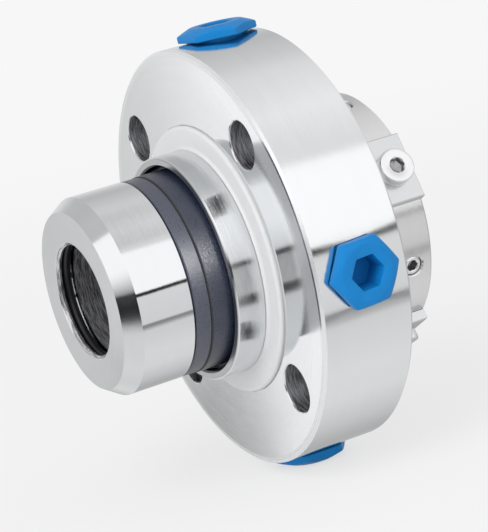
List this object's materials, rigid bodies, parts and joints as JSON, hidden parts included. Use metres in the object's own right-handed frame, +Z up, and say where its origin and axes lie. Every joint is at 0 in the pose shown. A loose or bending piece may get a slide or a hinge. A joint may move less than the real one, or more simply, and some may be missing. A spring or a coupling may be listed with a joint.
{
  "type": "cartridge mechanical seal",
  "caption": "Cartridge mechanical seal for a pump shaft: a bolted gland plate holds a sprung seal ring against a ring that turns with the sleeve and drive collar.",
  "frame": {"origin": "on the shaft axis, in the plane of the gland plate's mounting face, at the centre of the bolt circle", "axes": "+Y along the shaft axis away from the pump, towards the drive collar; +Z up through the top port; +X towards the side port"},
  "size_m": [0.1292, 0.0976, 0.1328],
  "materials": {
    "gland_steel": "turned satin",
    "sleeve_steel": "turned bright",
    "collar_steel": "turned satin",
    "clip_steel": "ground satin",
    "fastener_steel": "plain bright",
    "pin_steel": "ground",
    "spring_steel": "drawn",
    "slate_seal_ring": "matte, lapped face",
    "dark_seal_ring": "matte, lapped face",
    "carbon_bush": "machined carbon",
    "white_gasket": "smooth matte",
    "black_rubber": "moulded",
    "blue_plastic": "moulded, slight sheen"
  },
  "bodies": {
    "gland": {"gland_plate": "gland_steel", "gland_gasket": "white_gasket", "throttle_bush": "carbon_bush", "bush_retaining_ring": "spring_steel", "anti_rotation_pins": "pin_steel", "stationary_oring": "black_rubber", "face_springs": "spring_steel"},
    "rotor": {"shaft_sleeve": "sleeve_steel", "sleeve_oring": "black_rubber", "rotary_face": "slate_seal_ring", "rotary_oring": "black_rubber", "rotary_drive_pins": "pin_steel", "drive_collar": "collar_steel", "drive_set_screws": "fastener_steel", "collar_retaining_ring": "spring_steel"},
    "stationary": {"stationary_face": "dark_seal_ring", "thrust_plate": "pin_steel"},
    "clip_1": {"setting_clip_1": "clip_steel", "clip_screw_1": "fastener_steel"},
    "clip_2": {"setting_clip_2": "clip_steel", "clip_screw_2": "fastener_steel"},
    "clip_3": {"setting_clip_3": "clip_steel", "clip_screw_3": "fastener_steel"},
    "clip_4": {"setting_clip_4": "clip_steel", "clip_screw_4": "fastener_steel"},
    "plug_right": {"port_plug_right": "blue_plastic"},
    "plug_top": {"port_plug_top": "blue_plastic"},
    "plug_bottom": {"port_plug_bottom": "blue_plastic"}
  },
  "joints": [
    {"name": "rotor_spin", "type": "hinge", "parent": "gland", "child": "rotor", "pos_m": [0, 0, 0], "axis": [0, 1, 0], "continuous": true},
    {"name": "stationary_slide", "type": "slide", "parent": "gland", "child": "stationary", "axis": [0, 1, 0], "range_m": [0, 0.0013], "stiffness_N_per_m": 5000, "springref_m": -0.005, "deforming": ["face_springs"]},
    {"name": "clip_1_lift", "type": "slide", "parent": "rotor", "child": "clip_1", "axis": [0.9063, 0, 0.4226], "range_m": [0, 0.0135]},
    {"name": "clip_2_lift", "type": "slide", "parent": "rotor", "child": "clip_2", "axis": [-0.4226, 0, 0.9063], "range_m": [0, 0.0135]},
    {"name": "clip_3_lift", "type": "slide", "parent": "rotor", "child": "clip_3", "axis": [-0.9063, 0, -0.4226], "range_m": [0, 0.0135]},
    {"name": "clip_4_lift", "type": "slide", "parent": "rotor", "child": "clip_4", "axis": [0.4226, 0, -0.9063], "range_m": [0, 0.0135]},
    {"name": "plug_right_out", "type": "slide", "parent": "gland", "child": "plug_right", "axis": [0.999, 0, -0.0436], "range_m": [0, 0.016]},
    {"name": "plug_top_out", "type": "slide", "parent": "gland", "child": "plug_top", "axis": [0, 0, 1], "range_m": [0, 0.016]},
    {"name": "plug_bottom_out", "type": "slide", "parent": "gland", "child": "plug_bottom", "axis": [0, 0, -1], "range_m": [0, 0.016]}
  ]
}
